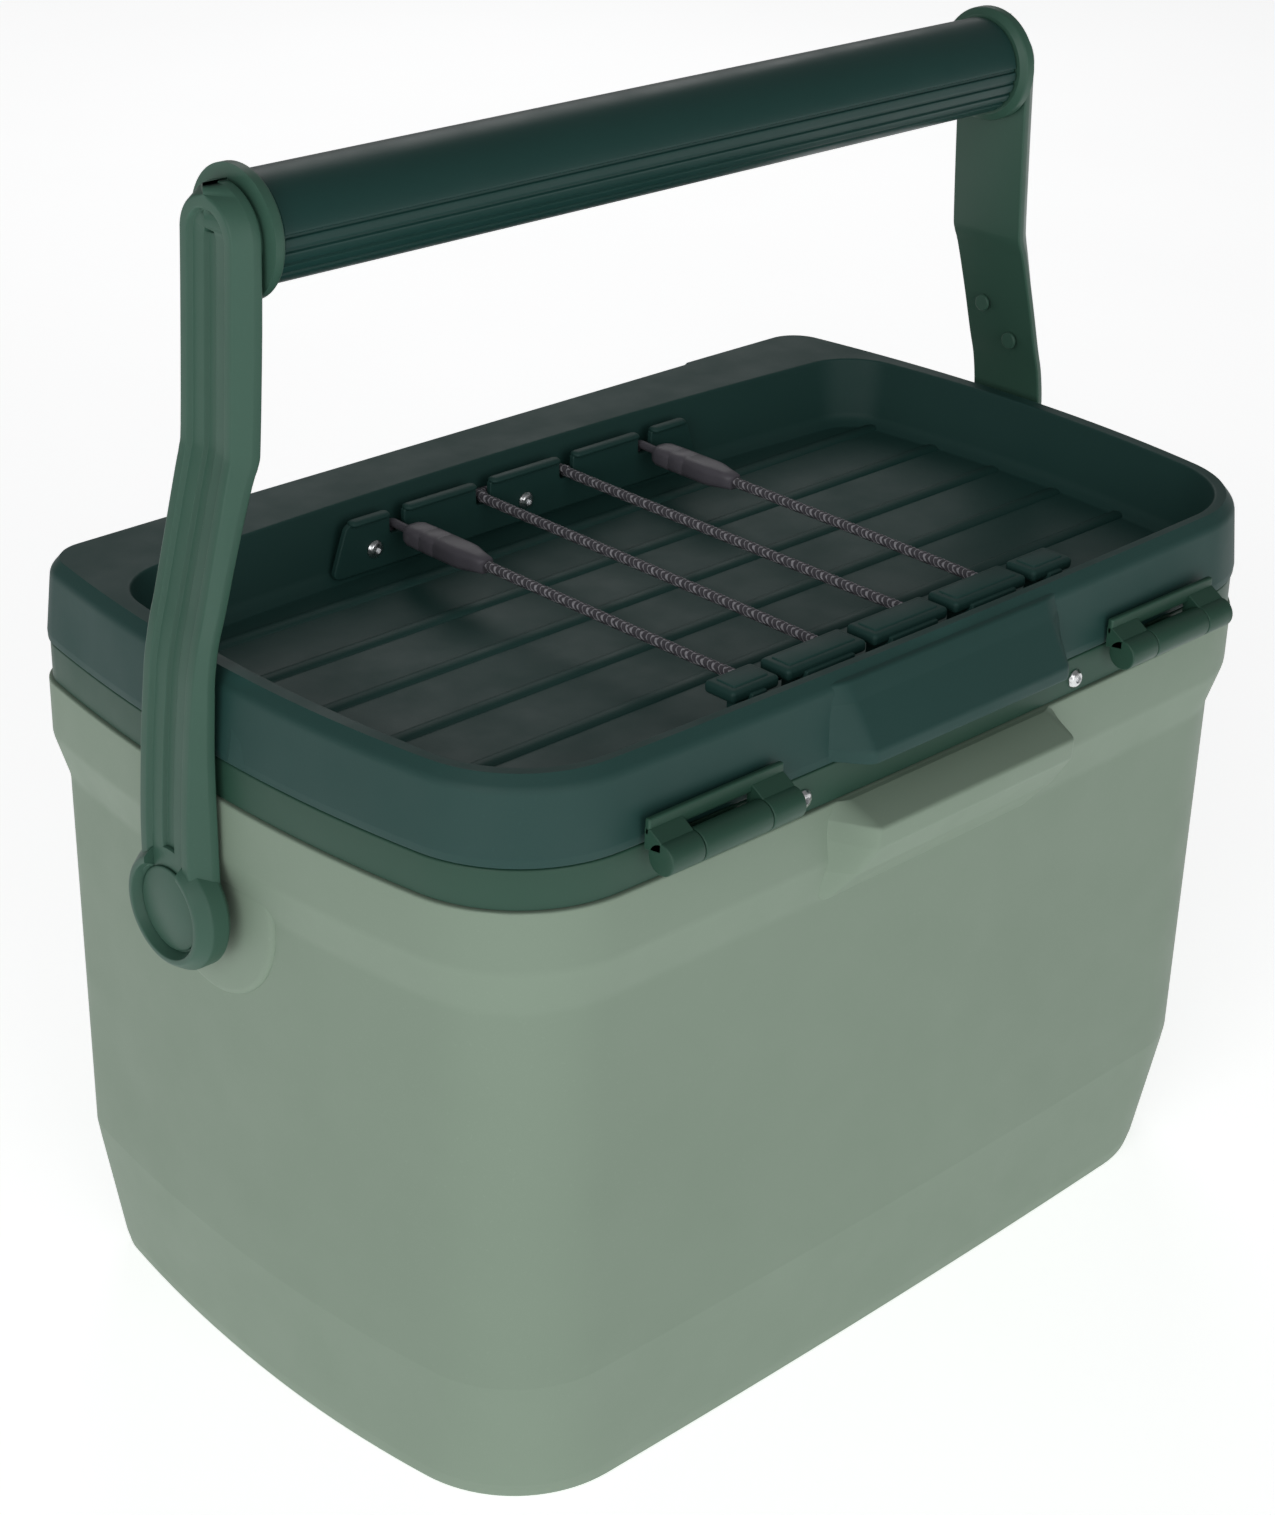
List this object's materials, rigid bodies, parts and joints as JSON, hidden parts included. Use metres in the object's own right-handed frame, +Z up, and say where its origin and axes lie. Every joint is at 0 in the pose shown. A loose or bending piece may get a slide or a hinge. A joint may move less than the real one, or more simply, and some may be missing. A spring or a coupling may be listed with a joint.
{
  "type": "hard cooler chest",
  "caption": "Hard-walled picnic cooler with bowed sage sides, a hinged tray lid with elastic tie-down, front latches and a tall swing carry handle with a round grip.",
  "frame": {"origin": "centre of the bounding box, on the floor under the chest", "axes": "+Z up, X along the length and parallel to the hinge axis, +Y towards the hinges (rear), -Y towards the latches (front)"},
  "size_m": [0.4444, 0.2964, 0.449],
  "materials": {
    "shell": "fine grained moulded plastic, sage green",
    "foam": "rigid insulating foam",
    "liner": "smooth food-safe plastic, off-white",
    "collar": "satin moulded plastic, dark green",
    "lid": "satin moulded plastic, dark teal green",
    "seal": "soft black seal",
    "arm": "satin moulded plastic, mid green",
    "grip": "satin ribbed plastic, dark teal",
    "rod": "plain drawn",
    "steel": "bright fasteners",
    "nylon": "plain bearing plastic",
    "cord": "braided elastic, dark grey",
    "sleeve": "satin grey plastic"
  },
  "bodies": {
    "chest": {"body_shell": "shell", "body_foam": "foam", "inner_liner": "liner", "rim_collar": "collar", "collar_screw_rear_left": "steel", "collar_screw_rear_right": "steel", "collar_screw_front_left": "steel", "collar_screw_front_right": "steel", "pivot_stud_left": "steel", "pivot_stud_right": "steel", "pivot_bush_left": "nylon", "pivot_bush_right": "nylon", "hinge_pin_left": "steel", "hinge_pin_right": "steel", "latch_pin_left": "steel", "latch_pin_right": "steel"},
    "lid": {"lid_shell": "lid", "lid_foam": "foam", "lid_liner": "liner", "lid_gasket": "seal", "hinge_leaf_left": "collar", "hinge_leaf_right": "collar", "front_cleat_plate": "lid", "plate_screw_left": "steel", "plate_screw_middle": "steel", "plate_screw_right": "steel", "rear_cleat_strip": "lid", "bungee_cord": "cord", "bungee_hook_left": "sleeve", "bungee_hook_right": "sleeve", "hook_sleeve_left": "sleeve", "hook_sleeve_right": "sleeve"},
    "handle": {"handle_arm_left": "arm", "handle_arm_right": "arm", "handle_grip": "grip", "grip_rod": "rod", "pivot_cap_left": "arm", "pivot_cap_right": "arm"},
    "latch_left": {"front_latch_left": "lid"},
    "latch_right": {"front_latch_right": "lid"}
  },
  "joints": [
    {"name": "lid_hinge", "type": "hinge", "parent": "chest", "child": "lid", "pos_m": [0, 0.1394, 0.258], "axis": [-1, 0, 0], "range_deg": [0, 5]},
    {"name": "handle_swing", "type": "hinge", "parent": "chest", "child": "handle", "pos_m": [0, -0.0195, 0.201], "axis": [1, 0, 0], "range_deg": [0, 100]},
    {"name": "latch_left_flip", "type": "hinge", "parent": "chest", "child": "latch_left", "pos_m": [0.1, -0.1392, 0.25], "axis": [1, 0, 0], "range_deg": [0, 150]},
    {"name": "latch_right_flip", "type": "hinge", "parent": "chest", "child": "latch_right", "pos_m": [-0.1, -0.1392, 0.25], "axis": [1, 0, 0], "range_deg": [0, 150]}
  ]
}
